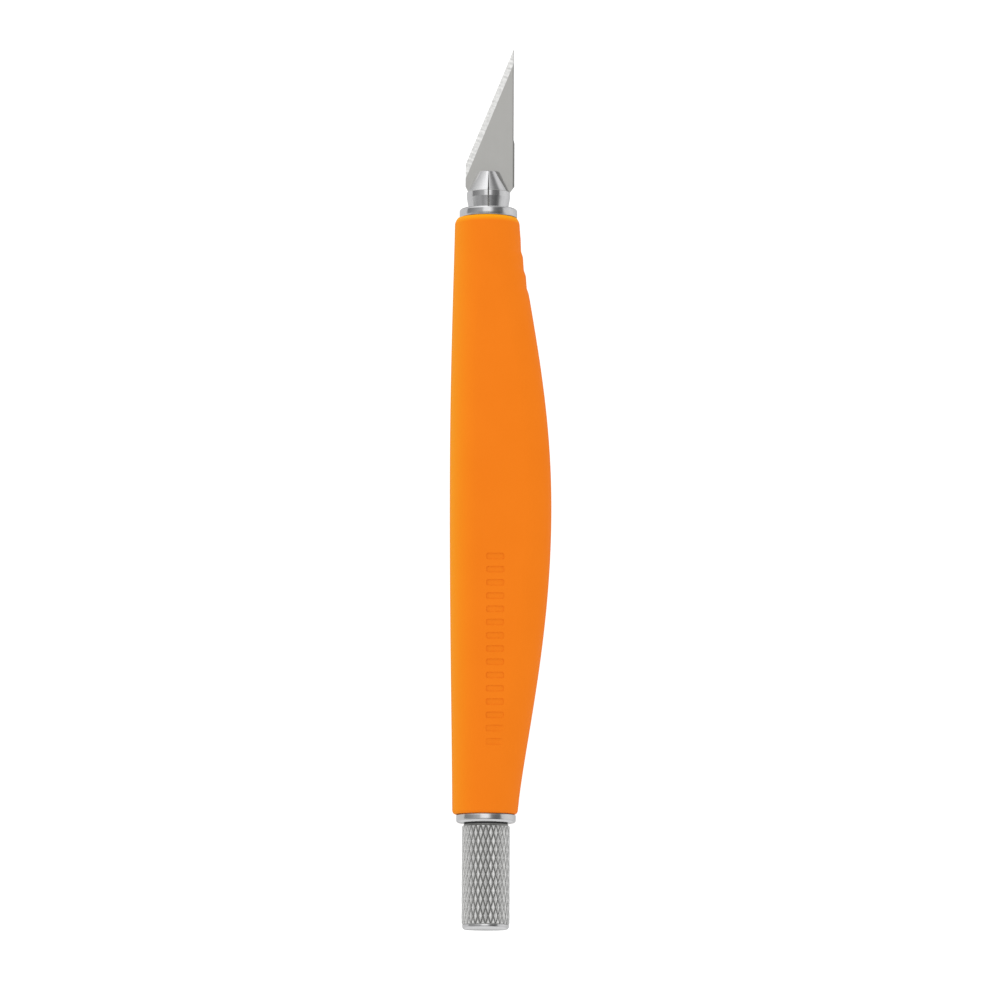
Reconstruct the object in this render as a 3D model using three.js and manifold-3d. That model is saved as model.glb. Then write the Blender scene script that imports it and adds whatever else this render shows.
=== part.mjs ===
// Hobby craft knife with a soft grip and a collet that is tightened from the rear.
//
// A pointed blade is held in the slot of a four-jaw collet. A knurled knob at the butt turns a long
// draw rod, whose front end is screwed into the collet. The rod cannot move along the tool, so turning
// the knob pulls the collet back into the tapered mouth of the nose collar, and the mouth squeezes the
// jaws on to the blade's tang. The soft orange grip, with its palm swell, is trapped between the nose
// collar and the rear collar.
//
// Everything is modelled on the tool's own axis, which is Y: the butt is at y = 0 and the blade's point
// at the largest y. The palm swell and the blade's spine are towards +X, and the flat of the blade
// faces +Z. At the end the whole tool is moved so that it lies on the plane z = 0 with the origin under
// its centre.
// Lengths are in millimetres and angles in radians.

import * as THREE from "three";
import { mergeVertices } from "three/addons/utils/BufferGeometryUtils.js";
import Module from "manifold-3d";

const wasm = await Module();
wasm.setup();

// ---- Driving dimensions: stations along the axis --------------------------------------------

const bladePointY = 158.8;
const buttY = 0;
const endGap = 0.1; // between the grip or the tube and the collars
const washerPlay = 0.04; // on each side of the thrust washer
const knobFrontY = 18.72;
const washerThickness = 0.12;
const rearCollarY = knobFrontY + washerThickness + 2 * washerPlay;
const rearFlangeThickness = 1.42;
const gripRearY = rearCollarY + rearFlangeThickness + endGap;
const noseFlangeY = 127.77;
const gripFrontY = noseFlangeY - endGap;
const noseFaceY = 129.37;

// ---- Driving dimensions: radii, from the axis outwards --------------------------------------

const fitGap = 0.05; // between two pieces that are fixed to each other
const runningGap = 0.1; // between two pieces that move on each other
const rodRadius = 1.5;
const colletRadius = 3.2;
const noseBoreRadius = colletRadius + runningGap;
const tubeBoreRadius = 3.8;
const spigotRadius = tubeBoreRadius - fitGap;
const tubeRadius = 4.5;
const noseFlangeRadius = 5.18;
const rearFlangeRadius = 5.3;
const knobRadius = 4.3;

const roundSegments = 36; // round the turned pieces
const smallSegments = 18; // round the rod, the pin and the small bores

// ---- Finishes -------------------------------------------------------------------------------

const finishes = {
  softOrange: new THREE.MeshStandardMaterial({ color: 0xf58220, roughness: 0.55, metalness: 0 }),
  corePlastic: new THREE.MeshStandardMaterial({ color: 0xd9731f, roughness: 0.5, metalness: 0 }),
  turnedAluminium: new THREE.MeshStandardMaterial({ color: 0xc9c9ca, roughness: 0.25, metalness: 1 }),
  knurledAluminium: new THREE.MeshStandardMaterial({ color: 0xb5b5b6, roughness: 0.35, metalness: 1 }),
  bladeSteel: new THREE.MeshStandardMaterial({ color: 0xb3b2ae, roughness: 0.3, metalness: 1 }),
  drawnSteel: new THREE.MeshStandardMaterial({ color: 0xa8a8aa, roughness: 0.3, metalness: 1 }),
  springSteel: new THREE.MeshStandardMaterial({ color: 0x4a4a4e, roughness: 0.4, metalness: 1 }),
  nylon: new THREE.MeshStandardMaterial({ color: 0xe8e6dc, roughness: 0.6, metalness: 0 }),
  blackNylon: new THREE.MeshStandardMaterial({ color: 0x1e1e20, roughness: 0.6, metalness: 0 }),
};

// ---- Helpers --------------------------------------------------------------------------------

// A closed geometry as a manifold-3d solid, for joining and cutting.
function solidOf(geometry) {
  const bare = geometry.clone();
  bare.deleteAttribute("normal");
  bare.deleteAttribute("uv");
  const merged = mergeVertices(bare, 1e-4);
  return new wasm.Manifold(
    new wasm.Mesh({
      numProp: 3,
      vertProperties: new Float32Array(merged.attributes.position.array),
      triVerts: new Uint32Array(merged.index.array),
    }),
  );
}

// A manifold-3d solid back as a geometry.
function geometryOf(solid) {
  const mesh = solid.getMesh();
  const geometry = new THREE.BufferGeometry();
  geometry.setAttribute("position", new THREE.BufferAttribute(new Float32Array(mesh.vertProperties), 3));
  geometry.setIndex(new THREE.BufferAttribute(new Uint32Array(mesh.triVerts), 1));
  geometry.computeVertexNormals();
  return geometry;
}

// A solid turned about the Y axis. The profile is a list of [radius, y], anticlockwise seen with y up.
function turned(profile, segments = roundSegments) {
  return new THREE.LatheGeometry(
    profile.map(([radius, y]) => new THREE.Vector2(radius, y)),
    segments,
  );
}

// A turned piece with a hole right through: its profile closes on itself.
function turnedRing(profile, segments = roundSegments) {
  return turned([...profile, profile[0]], segments);
}

// A round bar along Y from one station to another.
function bar(radius, fromY, toY, segments = smallSegments) {
  const rod = new THREE.CylinderGeometry(radius, radius, toY - fromY, segments);
  return rod.translate(0, (fromY + toY) / 2, 0);
}

// A flat outline in XY, made into a plate between two heights.
function plate(points, fromZ, toZ) {
  const shape = new THREE.Shape(points.map(([x, y]) => new THREE.Vector2(x, y)));
  const slab = new THREE.ExtrudeGeometry(shape, { depth: toZ - fromZ, bevelEnabled: false });
  return slab.translate(0, 0, fromZ);
}

// The profile points of a rounded corner, from one angle to another about a centre.
function roundedCorner(centreRadius, centreY, radius, fromAngle, toAngle, steps = 3) {
  return Array.from({ length: steps + 1 }, (_, i) => {
    const angle = fromAngle + ((toAngle - fromAngle) * i) / steps;
    return [centreRadius + radius * Math.cos(angle), centreY + radius * Math.sin(angle)];
  });
}

// A closed surface lofted through rings of points, each ring anticlockwise seen from the butt looking
// forward and the rings ordered from the butt forward. Each end is closed with a fan to its middle.
function lofted(rings) {
  const count = rings[0].length;
  const positions = rings.flat().flatMap((p) => [p.x, p.y, p.z]);
  const index = [];
  for (let ring = 0; ring < rings.length - 1; ring++) {
    for (let i = 0; i < count; i++) {
      const a = ring * count + i;
      const b = ring * count + ((i + 1) % count);
      index.push(a, a + count, b, b, a + count, b + count);
    }
  }
  for (const last of [false, true]) {
    const ring = last ? rings.length - 1 : 0;
    const middle = new THREE.Vector3();
    rings[ring].forEach((p) => middle.addScaledVector(p, 1 / count));
    const hub = positions.length / 3;
    positions.push(middle.x, middle.y, middle.z);
    for (let i = 0; i < count; i++) {
      const a = ring * count + i;
      const b = ring * count + ((i + 1) % count);
      index.push(...(last ? [hub, b, a] : [hub, a, b]));
    }
  }
  const geometry = new THREE.BufferGeometry();
  geometry.setAttribute("position", new THREE.BufferAttribute(new Float32Array(positions), 3));
  geometry.setIndex(index);
  return geometry;
}

// ---- Soft grip ------------------------------------------------------------------------------

const palmPeakY = 75; // where the palm swell stands furthest out
const backPeakY = 82.9; // where the plain side is fullest
const palmEndRadius = 5.65;
const backEndRadius = 6.03;
const endDepth = 5.9; // from the axis to each broad face, at the grip's two ends
const palmSwell = 5.86; // how far the swell stands out past the end radius
const palmSquareness = 1.2; // how much squarer than an ellipse the swell is, as a power
const backSwell = 0.7;
const depthSwell = 1;
const deepFromY = 48;
const deepToY = 102;
const broadFaceHeight = 6.35; // from the axis to the flat of each broad face, on which the tool lies
const endInset = 0.65; // how far the rounded ends are drawn in
const frontRoundLength = 1.2;
const rearRoundLength = 0.75;
const ribDepth = 0.17;
const ribPitch = 3.4;
const ribCount = 3;
const firstRibY = 124.1; // front crest of the ribbed finger rest
const gripSegments = 36;

// A bump that is 1 at the peak and falls to 0 at the grip's two ends.
function bump(y, peakY, frontPower, rearPower) {
  const ahead = y > peakY;
  const t = ahead ? (y - peakY) / (gripFrontY - 1 - peakY) : (peakY - y) / (peakY - gripRearY);
  return Math.pow(Math.max(0, 1 - t * t), ahead ? frontPower : rearPower);
}

// The depth of the finger rest's saw-tooth ribs: a long fall behind each crest, then a short rise.
function ribRelief(y) {
  const behindFirst = (firstRibY - y) / ribPitch;
  if (behindFirst < 0 || behindFirst > ribCount) return 0;
  const phase = behindFirst % 1;
  const lowest = 0.7;
  return ribDepth * (phase < lowest ? phase / lowest : (1 - phase) / (1 - lowest));
}

// One ring of the grip at a station, drawn in by an inset. The palm side is squarer than an ellipse,
// and away from the ends the two broad faces are flat.
function gripRing(y, inset, segments, ribbed) {
  const palm = bump(y, palmPeakY, 1.475, 1.385);
  const back = bump(y, backPeakY, 1.3, 1.53);
  const deeper = THREE.MathUtils.smoothstep(y, gripRearY, deepFromY);
  const shallower = THREE.MathUtils.smoothstep(y, deepToY, gripFrontY);
  const palmReach = palmEndRadius + palmSwell * palm - inset;
  const backReach = backEndRadius + backSwell * back - inset;
  const depth = endDepth + depthSwell * (deeper - shallower) - inset;
  const power = 2 / (2 + palmSquareness * palm);
  return Array.from({ length: segments }, (_, i) => {
    const angle = (2 * Math.PI * i) / segments;
    const c = Math.cos(angle);
    const s = Math.sin(angle);
    const fingerSide = ribbed ? THREE.MathUtils.smoothstep(c, 0.55, 0.85) : 0;
    const reach = palmReach - fingerSide * ribRelief(y);
    const x = c > 0 ? reach * Math.pow(c, power) : backReach * c;
    const height = Math.min(depth * Math.pow(Math.abs(s), c > 0 ? power : 1), broadFaceHeight - inset);
    return new THREE.Vector3(x, y, Math.sign(s) * height);
  });
}

// The stations of the skin's rings, each with how far its rounded end draws the ring in.
function skinStations() {
  const roundSteps = 3;
  const plainSteps = 18;
  const stepsPerRib = 4;
  const shares = Array.from({ length: roundSteps + 1 }, (_, i) => i / roundSteps);
  const rearRounding = shares.map((share) => [
    gripRearY + rearRoundLength * share,
    endInset * (1 - Math.sqrt(1 - (1 - share) ** 2)),
  ]);
  const frontRounding = shares.map((share) => [
    gripFrontY - frontRoundLength * (1 - share),
    endInset * share ** 2,
  ]);
  const ribbedFromY = firstRibY - ribCount * ribPitch;
  const plainFromY = gripRearY + rearRoundLength;
  const stations = [...rearRounding];
  for (let i = 1; i < plainSteps; i++) {
    stations.push([THREE.MathUtils.lerp(plainFromY, ribbedFromY, i / plainSteps), 0]);
  }
  for (let i = 0; i <= ribCount * stepsPerRib; i++) {
    stations.push([ribbedFromY + (i * ribPitch) / stepsPerRib, 0]);
  }
  return [...stations, ...frontRounding];
}

const coreRearY = 37;
const coreFrontY = 111;
const skinThickness = 1.2;
const coreSegments = 24;

// The rigid core follows the grip's own outline, one skin thickness further in.
function coreOutline(clearance) {
  const steps = 10;
  const rings = [];
  for (let i = 0; i <= steps; i++) {
    const y = THREE.MathUtils.lerp(coreRearY - clearance, coreFrontY + clearance, i / steps);
    rings.push(gripRing(y, skinThickness - clearance, coreSegments, false));
  }
  return lofted(rings);
}

function gripCore() {
  const outline = solidOf(coreOutline(0));
  const bore = solidOf(bar(tubeRadius + fitGap, coreRearY - 1, coreFrontY + 1, roundSegments));
  return geometryOf(outline.subtract(bore));
}

function gripSkin() {
  const rings = skinStations().map(([y, inset]) => gripRing(y, inset, gripSegments, true));
  const outside = solidOf(lofted(rings));
  const bore = solidOf(bar(tubeRadius + fitGap, gripRearY - 1, gripFrontY + 1, roundSegments));
  const pocket = solidOf(coreOutline(runningGap));
  return geometryOf(outside.subtract(bore).subtract(pocket));
}

// ---- Barrel: tube and its two collars -------------------------------------------------------

const seatAngle = THREE.MathUtils.degToRad(10.5); // half angle of the tapered mouth
const seatGap = 0.06;
const colletBellyRadius = 3.9;
const colletBellyY = 131.45; // rear edge of the collet's widest band
const spigotLength = 23;
const keyPinY = noseFlangeY - 19.5;
const keyPinRadius = 0.6;
const rearSpigotLength = 8;

// The radius of the collet's rear taper at a station.
function taperRadius(y) {
  return colletBellyRadius - (colletBellyY - y) * Math.tan(seatAngle);
}

function barrelTube() {
  const rearY = gripRearY;
  const frontY = noseFlangeY - endGap;
  return turnedRing([
    [tubeBoreRadius, rearY],
    [tubeRadius, rearY],
    [tubeRadius, frontY],
    [tubeBoreRadius, frontY],
  ]);
}

function noseCollar() {
  const edgeBreak = 0.4;
  const mouthBreak = 0.42;
  const mouthRadius = taperRadius(noseFaceY) + seatGap;
  const seatRearY = noseFaceY - (mouthRadius - noseBoreRadius) / Math.tan(seatAngle);
  const body = turnedRing([
    [noseBoreRadius, noseFlangeY - spigotLength],
    [spigotRadius, noseFlangeY - spigotLength],
    [spigotRadius, noseFlangeY],
    [noseFlangeRadius, noseFlangeY],
    ...roundedCorner(noseFlangeRadius - edgeBreak, noseFaceY - edgeBreak, edgeBreak, 0, Math.PI / 2),
    [mouthRadius + mouthBreak, noseFaceY],
    [mouthRadius, noseFaceY - mouthBreak],
    [noseBoreRadius, seatRearY],
  ]);
  const pinHole = new THREE.CylinderGeometry(
    keyPinRadius + fitGap,
    keyPinRadius + fitGap,
    spigotRadius,
    smallSegments,
  );
  pinHole.rotateX(Math.PI / 2).translate(0, keyPinY, spigotRadius - 0.5);
  return geometryOf(solidOf(body).subtract(solidOf(pinHole)));
}

function keyPin() {
  return new THREE.CylinderGeometry(keyPinRadius, keyPinRadius, keyPinLength, smallSegments);
}

function rearCollar() {
  const edgeRound = 0.55;
  const flangeFrontY = rearCollarY + rearFlangeThickness;
  return turnedRing([
    [rodRadius + runningGap, rearCollarY],
    ...roundedCorner(rearFlangeRadius - edgeRound, rearCollarY + edgeRound, edgeRound, -Math.PI / 2, 0),
    [rearFlangeRadius, flangeFrontY],
    [spigotRadius, flangeFrontY],
    [spigotRadius, flangeFrontY + rearSpigotLength],
    [rodRadius + runningGap, flangeFrontY + rearSpigotLength],
  ]);
}

function thrustWasher() {
  const outerRadius = 3.9;
  const rearY = knobFrontY + washerPlay;
  return turnedRing([
    [rodRadius + runningGap, rearY],
    [outerRadius, rearY],
    [outerRadius, rearY + washerThickness],
    [rodRadius + runningGap, rearY + washerThickness],
  ]);
}

function rodGuide() {
  const rearY = 62;
  const frontY = 70;
  const lead = 0.5;
  return turnedRing([
    [rodRadius + runningGap, rearY],
    [spigotRadius - lead, rearY],
    [spigotRadius, rearY + lead],
    [spigotRadius, frontY - lead],
    [spigotRadius - lead, frontY],
    [rodRadius + runningGap, frontY],
  ]);
}

// ---- Knob, draw rod and retaining clip ------------------------------------------------------

const knurlCount = 28; // diamonds round the knob
const knurlHalfRows = 12;
const knurlDepth = 0.22;
const knurlRearY = 0.85;
const knurlFrontY = knobFrontY - 0.25;
const knobEdgeRound = 0.55;
const rodRearY = 4;
const rodFrontY = 110.8;
const clipY = rearCollarY + rearFlangeThickness + rearSpigotLength + 0.15;
const clipThickness = 0.5;
const clipGrooveRadius = 1.15;

// The knob's outside: two families of V grooves cross at the low points and leave pyramids between
// them.
function knob() {
  const columns = 2 * knurlCount;
  const rings = [];
  const ring = (y, radiusAt) =>
    Array.from({ length: columns }, (_, i) => {
      const angle = (2 * Math.PI * i) / columns;
      const radius = radiusAt(i);
      return new THREE.Vector3(radius * Math.cos(angle), y, radius * Math.sin(angle));
    });
  const plainRadius = knobRadius - knurlDepth / 2;
  for (const [radius, y] of roundedCorner(
    plainRadius - knobEdgeRound,
    buttY + knobEdgeRound,
    knobEdgeRound,
    -Math.PI / 2,
    0,
  )) {
    rings.push(ring(y, () => radius));
  }
  for (let row = 0; row <= knurlHalfRows; row++) {
    const y = THREE.MathUtils.lerp(knurlRearY, knurlFrontY, row / knurlHalfRows);
    rings.push(ring(y, (i) => ((i + row) % 2 ? knobRadius : knobRadius - knurlDepth)));
  }
  rings.push(ring(knobFrontY, () => knobRadius - knurlDepth - 0.1));
  const outside = solidOf(lofted(rings));
  const bore = solidOf(bar(rodRadius + fitGap, rodRearY - endGap, knobFrontY + 1));
  return geometryOf(outside.subtract(bore));
}

function drawRod() {
  const tip = 0.3;
  const grooveFrontY = clipY + clipThickness + fitGap;
  return turned(
    [
      [0, rodRearY],
      [rodRadius, rodRearY],
      [rodRadius, clipY - fitGap],
      [clipGrooveRadius, clipY - fitGap],
      [clipGrooveRadius, grooveFrontY],
      [rodRadius, grooveFrontY],
      [rodRadius, rodFrontY - tip],
      [rodRadius - tip, rodFrontY],
      [0, rodFrontY],
    ],
    smallSegments,
  );
}

// A C-shaped clip: an open ring, drawn flat and then stood across the axis.
function retainingClip() {
  const outerRadius = 2.7;
  const innerRadius = clipGrooveRadius + fitGap;
  const halfOpening = 0.6;
  const shape = new THREE.Shape();
  shape.absarc(0, 0, outerRadius, halfOpening, 2 * Math.PI - halfOpening, false);
  shape.absarc(0, 0, innerRadius, 2 * Math.PI - halfOpening, halfOpening, true);
  const ring = new THREE.ExtrudeGeometry(shape, {
    depth: clipThickness,
    bevelEnabled: false,
    curveSegments: smallSegments,
  });
  return ring.rotateX(-Math.PI / 2);
}

// ---- Collet ---------------------------------------------------------------------------------

const colletRearY = 103.2;
const jawRootY = 112.9;
const jawTipY = 136.17;
const jawTipRadius = 2.1;
const bellyLength = 0.95;
const coneRearRadius = 3.78;
const rootGap = 0.2; // between the collet's body and the jaws that bend from it
const jawBoreRadius = 1.3;
const jawBoreEndY = 126.6;
const fingerRadius = 2.95; // the fingers are thinner than the body, so that they bend freely in the bore
const bladeThickness = 0.6;
const slotHalfWidth = bladeThickness / 2 + seatGap;
const slitHalfAtRoot = 0.3;
const slitHalfAtTip = 0.09;
const keywayHalfWidth = keyPinRadius + runningGap;
const keywayFloor = 2.3; // height of the keyway's floor above the axis
const keywayFrontMargin = 2.2;
const keywayRearMargin = 3.5; // longer than the front's, because the collet slides forward
const keyPinLength = spigotRadius - fitGap - (keywayFloor + 0.15);

function colletBody() {
  const frontY = jawRootY - rootGap;
  const body = turned(
    [
      [0, frontY - 1.2],
      [rodRadius + runningGap, frontY - 1.6],
      [rodRadius + runningGap, colletRearY],
      [colletRadius - 0.3, colletRearY],
      [colletRadius, colletRearY + 0.3],
      [colletRadius, frontY],
      [0, frontY],
    ],
    roundSegments,
  );
  const keyway = new THREE.BoxGeometry(2 * keywayHalfWidth, keywayFrontMargin + keywayRearMargin, 2);
  keyway.translate(0, keyPinY + (keywayFrontMargin - keywayRearMargin) / 2, keywayFloor + 1);
  return geometryOf(solidOf(body).subtract(solidOf(keyway)));
}

// The outline that all four jaws are cut from: a hollow stem, the rear taper, the widest band and the
// nose cone.
function jawBlank() {
  return turned([
    [0, jawBoreEndY],
    [jawBoreRadius, jawBoreEndY - 1],
    [jawBoreRadius, jawRootY],
    [fingerRadius, jawRootY],
    [fingerRadius, colletBellyY - (colletBellyRadius - fingerRadius) / Math.tan(seatAngle)],
    [colletBellyRadius, colletBellyY],
    [colletBellyRadius, colletBellyY + bellyLength],
    [coneRearRadius, colletBellyY + bellyLength + 0.1],
    [jawTipRadius, jawTipY - 0.15],
    [jawTipRadius - 0.15, jawTipY],
    [0, jawTipY],
  ]);
}

// One jaw: the quarter of the blank beyond the blade's slot and the relief slit, which narrows to the
// front.
function colletJaw(sideX, sideZ) {
  const far = 5;
  const corner = plate(
    [
      [slitHalfAtRoot, jawRootY - 1],
      [far, jawRootY - 1],
      [far, jawTipY + 1],
      [slitHalfAtTip, jawTipY + 1],
    ],
    slotHalfWidth,
    far,
  );
  const quarter = solidOf(corner).scale([sideX, 1, sideZ]);
  return geometryOf(solidOf(jawBlank()).intersect(quarter));
}

// ---- Blade ----------------------------------------------------------------------------------

const spineX = 4.48;
const heel = new THREE.Vector2(-4.14, 137.65); // rear end of the cutting edge
const point = new THREE.Vector2(spineX, bladePointY);
const bevelWidth = 1.03;
const edgeHalfThickness = 0.02;
const tangHalfWidth = 3.0;
const tangRearY = 117.5;

function blade() {
  const tangCorner = 0.8;
  const blank = solidOf(
    plate(
      [
        [point.x, point.y],
        [heel.x, heel.y],
        [heel.x, 133.5],
        [-tangHalfWidth, 131.1],
        [-tangHalfWidth, tangRearY + tangCorner],
        [-tangHalfWidth + tangCorner, tangRearY],
        [tangHalfWidth - tangCorner, tangRearY],
        [tangHalfWidth, tangRearY + tangCorner],
        [tangHalfWidth, 131.7],
        [spineX, 133.7],
        [spineX + 0.17, 141.4],
        [spineX, 142.1],
      ],
      -bladeThickness / 2,
      bladeThickness / 2,
    ),
  );
  const [upper, lower] = [1, -1].map((side) => solidOf(bevelCutter(side)));
  return geometryOf(blank.subtract(upper).subtract(lower));
}

// A wedge that grinds one side of the edge: a triangle across the edge, swept along it from the point.
function bevelCutter(side) {
  const rearward = heel.clone().sub(point).normalize();
  const inward = new THREE.Vector2(-rearward.y, rearward.x);
  const rise = (bladeThickness / 2 - edgeHalfThickness) / bevelWidth;
  const over = 0.6;
  const overrun = 4;
  const topZ = bladeThickness / 2 + over * rise;
  const upperTriangle = [
    [-over, edgeHalfThickness - over * rise],
    [bevelWidth + over, topZ],
    [-over, topZ],
  ];
  const triangle = side > 0 ? upperTriangle : upperTriangle.map(([n, z]) => [n, -z]).reverse();
  const wedge = plate(triangle, -overrun, point.distanceTo(heel) + overrun);
  const alongEdge = new THREE.Matrix4().makeBasis(
    new THREE.Vector3(inward.x, inward.y, 0),
    new THREE.Vector3(0, 0, 1),
    new THREE.Vector3(rearward.x, rearward.y, 0),
  );
  return wedge.applyMatrix4(alongEdge.setPosition(point.x, point.y, 0));
}

// ---- Assembly -------------------------------------------------------------------------------

const knife = new THREE.Group();

function add(name, geometry, finish) {
  const mesh = new THREE.Mesh(geometry, finishes[finish]);
  mesh.name = name;
  knife.add(mesh);
  return mesh;
}

add("grip_skin", gripSkin(), "softOrange");
add("grip_core", gripCore(), "corePlastic");
add("barrel_tube", barrelTube(), "turnedAluminium");
add("nose_collar", noseCollar(), "turnedAluminium");
const pin = add("key_pin", keyPin(), "drawnSteel");
pin.rotation.x = Math.PI / 2;
pin.position.set(0, keyPinY, spigotRadius - fitGap - keyPinLength / 2);
add("rear_collar", rearCollar(), "turnedAluminium");
add("thrust_washer", thrustWasher(), "blackNylon");
add("rod_guide", rodGuide(), "nylon");
add("knob", knob(), "knurledAluminium");
add("draw_rod", drawRod(), "drawnSteel");
add("retaining_clip", retainingClip(), "springSteel").position.y = clipY;
add("collet_body", colletBody(), "turnedAluminium");
[
  [1, 1],
  [-1, 1],
  [-1, -1],
  [1, -1],
].forEach(([sideX, sideZ], i) => {
  add(`collet_jaw_${i + 1}`, colletJaw(sideX, sideZ), "turnedAluminium");
});
add("blade", blade(), "bladeSteel");

// The tool lies on z = 0 with the origin under the middle of its box.
const box = new THREE.Box3().setFromObject(knife);
const middle = box.getCenter(new THREE.Vector3());
knife.position.set(-middle.x, -middle.y, -box.min.z);

const part = new THREE.Group();
part.add(knife);
export default part;
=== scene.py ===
# %% [markdown]
# # A craft knife with a soft grip
#
# This lesson builds the looks of a hobby craft knife around a finished mechanical model. The model already
# fixes where every piece is and how it moves, so each new mesh is made in place, at its real size, in metres.
# The knife lies on its side: its axis runs along Y with the blade's point forward, the palm swell is towards
# +X, and the flat of the blade faces up.

import math

import bmesh
import bpy
from mathutils import Matrix, Vector


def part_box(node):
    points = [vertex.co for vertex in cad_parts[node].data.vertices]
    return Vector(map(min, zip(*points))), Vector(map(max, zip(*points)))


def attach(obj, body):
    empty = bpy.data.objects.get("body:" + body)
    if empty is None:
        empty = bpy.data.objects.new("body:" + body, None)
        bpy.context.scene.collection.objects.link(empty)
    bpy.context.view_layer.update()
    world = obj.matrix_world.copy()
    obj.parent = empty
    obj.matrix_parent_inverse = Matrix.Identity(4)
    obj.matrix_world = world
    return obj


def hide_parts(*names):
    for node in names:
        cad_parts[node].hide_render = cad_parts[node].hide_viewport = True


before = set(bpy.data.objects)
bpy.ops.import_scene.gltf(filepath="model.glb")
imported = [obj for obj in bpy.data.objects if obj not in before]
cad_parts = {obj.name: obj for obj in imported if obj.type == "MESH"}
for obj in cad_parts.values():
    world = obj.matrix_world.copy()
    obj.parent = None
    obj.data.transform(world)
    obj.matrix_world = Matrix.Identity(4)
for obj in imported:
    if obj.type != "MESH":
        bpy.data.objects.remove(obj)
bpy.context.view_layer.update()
print("nodes:", sorted(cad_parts))

# %% [markdown]
# All the turned pieces share one axis, so its place is read once, from the tube that joins them. The stations
# along the axis come from the same model: a new piece starts and stops exactly where the old one did.

# %% Find the axis and the stations along it
mm = 0.001

tube_low, tube_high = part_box("barrel_tube")
axis_x = (tube_low.x + tube_high.x) / 2
axis_z = (tube_low.z + tube_high.z) / 2
butt_y, knob_front_y = (corner.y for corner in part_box("knob"))
rear_collar_y, rear_spigot_y = (corner.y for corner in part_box("rear_collar"))
grip_rear_y, grip_front_y = (corner.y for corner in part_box("grip_skin"))
nose_spigot_y, nose_face_y = (corner.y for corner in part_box("nose_collar"))
jaw_root_y, jaw_tip_y = (corner.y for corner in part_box("collet_jaw_1"))
print(f"axis at x {axis_x / mm:.2f} mm, z {axis_z / mm:.2f} mm; butt at {butt_y / mm:.1f} mm")


# %% [markdown]
# ## Hand tools
#
# Most of modelling is picking something and pulling it. The tools below do what a hand does in edit mode: open
# a new primitive, pick its faces, edges or vertices by where they are, round its corners, and close it again
# with its faces outwards. The finished object stays at the origin, with its place in its mesh.

# %% Open, pick and close
def open_part(name):
    """Names the primitive that was just added, puts its place into its mesh and opens it."""
    part = bpy.context.object
    part.name = part.data.name = name
    bpy.ops.object.transform_apply(location=True, rotation=True, scale=True)
    bpy.ops.object.mode_set(mode="EDIT")
    bpy.ops.mesh.select_mode(type="VERT")
    bpy.ops.mesh.select_all(action="SELECT")
    return part


def pick(kind, wanted):
    """Selects the vertices, edges or faces of the open piece that are wanted, and nothing else."""
    bpy.ops.mesh.select_all(action="DESELECT")
    bpy.ops.mesh.select_mode(type=kind)
    mesh = bmesh.from_edit_mesh(bpy.context.edit_object.data)
    elements = {"VERT": mesh.verts, "EDGE": mesh.edges, "FACE": mesh.faces}[kind]
    chosen = [element for element in elements if wanted(element)]
    for element in chosen:
        element.select_set(True)
    mesh.select_flush_mode()
    bmesh.update_edit_mesh(bpy.context.edit_object.data)
    return len(chosen)


def from_axis(point):
    """How far a point is from the knife's axis."""
    return math.hypot(point.x - axis_x, point.z - axis_z)


def both_ends(edge, wanted):
    """Whether both ends of an edge are at wanted places."""
    return all(wanted(v.co) for v in edge.verts)


def span(edge):
    """The step from one end of an edge to the other."""
    return edge.verts[0].co - edge.verts[1].co


def soften(width, steps=2, wanted=lambda edge: True, sharper_than=30):
    """Rounds the open piece's sharp edges, or those of them that are wanted."""
    least = math.radians(sharper_than)
    pick("EDGE", lambda edge: edge.calc_face_angle(0) > least and wanted(edge))
    bpy.ops.mesh.bevel(offset=width, segments=steps, affect="EDGES")


def pull_out(length):
    """Extrudes what is picked along the axis."""
    bpy.ops.mesh.extrude_region_move(TRANSFORM_OT_translate={"value": (0, length, 0)})


def weld():
    """Merges the open piece's doubles and turns its faces outwards."""
    bpy.ops.mesh.select_all(action="SELECT")
    bpy.ops.mesh.remove_doubles(threshold=0.001 * mm)
    bpy.ops.mesh.normals_make_consistent(inside=False)


def close_part(part, crisp_over=30):
    """Welds the piece, closes it, and shades it smooth up to its crisp edges."""
    weld()
    bpy.ops.object.mode_set(mode="OBJECT")
    bpy.ops.object.shade_smooth_by_angle(angle=math.radians(crisp_over))
    print(f"{part.name}: {len(part.data.polygons)} faces")


def only(part):
    """Selects one piece, and nothing else, to work on."""
    bpy.ops.object.select_all(action="DESELECT")
    part.select_set(True)
    bpy.context.view_layer.objects.active = part


def apply_modifier(part, kind, **settings):
    """Adds a modifier to the piece that is worked on, sets it and applies it."""
    bpy.ops.object.modifier_add(type=kind)
    modifier = part.modifiers[-1]
    for setting, value in settings.items():
        setattr(modifier, setting, value)
    bpy.ops.object.modifier_apply(modifier=modifier.name)


# %% [markdown]
# Half of this knife comes off a lathe. A ring drawn along the axis, and scaled at every step, does the same
# work: the profile is a short list of radii and stations, which is how a turner would write it down. A profile
# that comes back to its start makes a wall with a hole through it; any other is closed at both ends.

# %% A lathe
def turn(name, profile, segments=96):
    """Draws a ring along the axis from each (radius, station) of the profile to the next."""
    radius, station = profile[0]
    hollow = profile[-1] == profile[0]
    bpy.ops.object.select_all(action="DESELECT")
    bpy.ops.mesh.primitive_circle_add(
        vertices=segments,
        radius=radius,
        fill_type="NOTHING" if hollow else "NGON",
        location=(axis_x, station, axis_z),
        rotation=(math.pi / 2, 0, 0),
    )
    part = open_part(name)
    for next_radius, next_station in profile[1:]:
        pull_out(next_station - station)
        growth = next_radius / radius
        bpy.ops.transform.resize(
            value=(growth, growth, growth), center_override=(axis_x, next_station, axis_z)
        )
        radius, station = next_radius, next_station
    weld()
    return part


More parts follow.
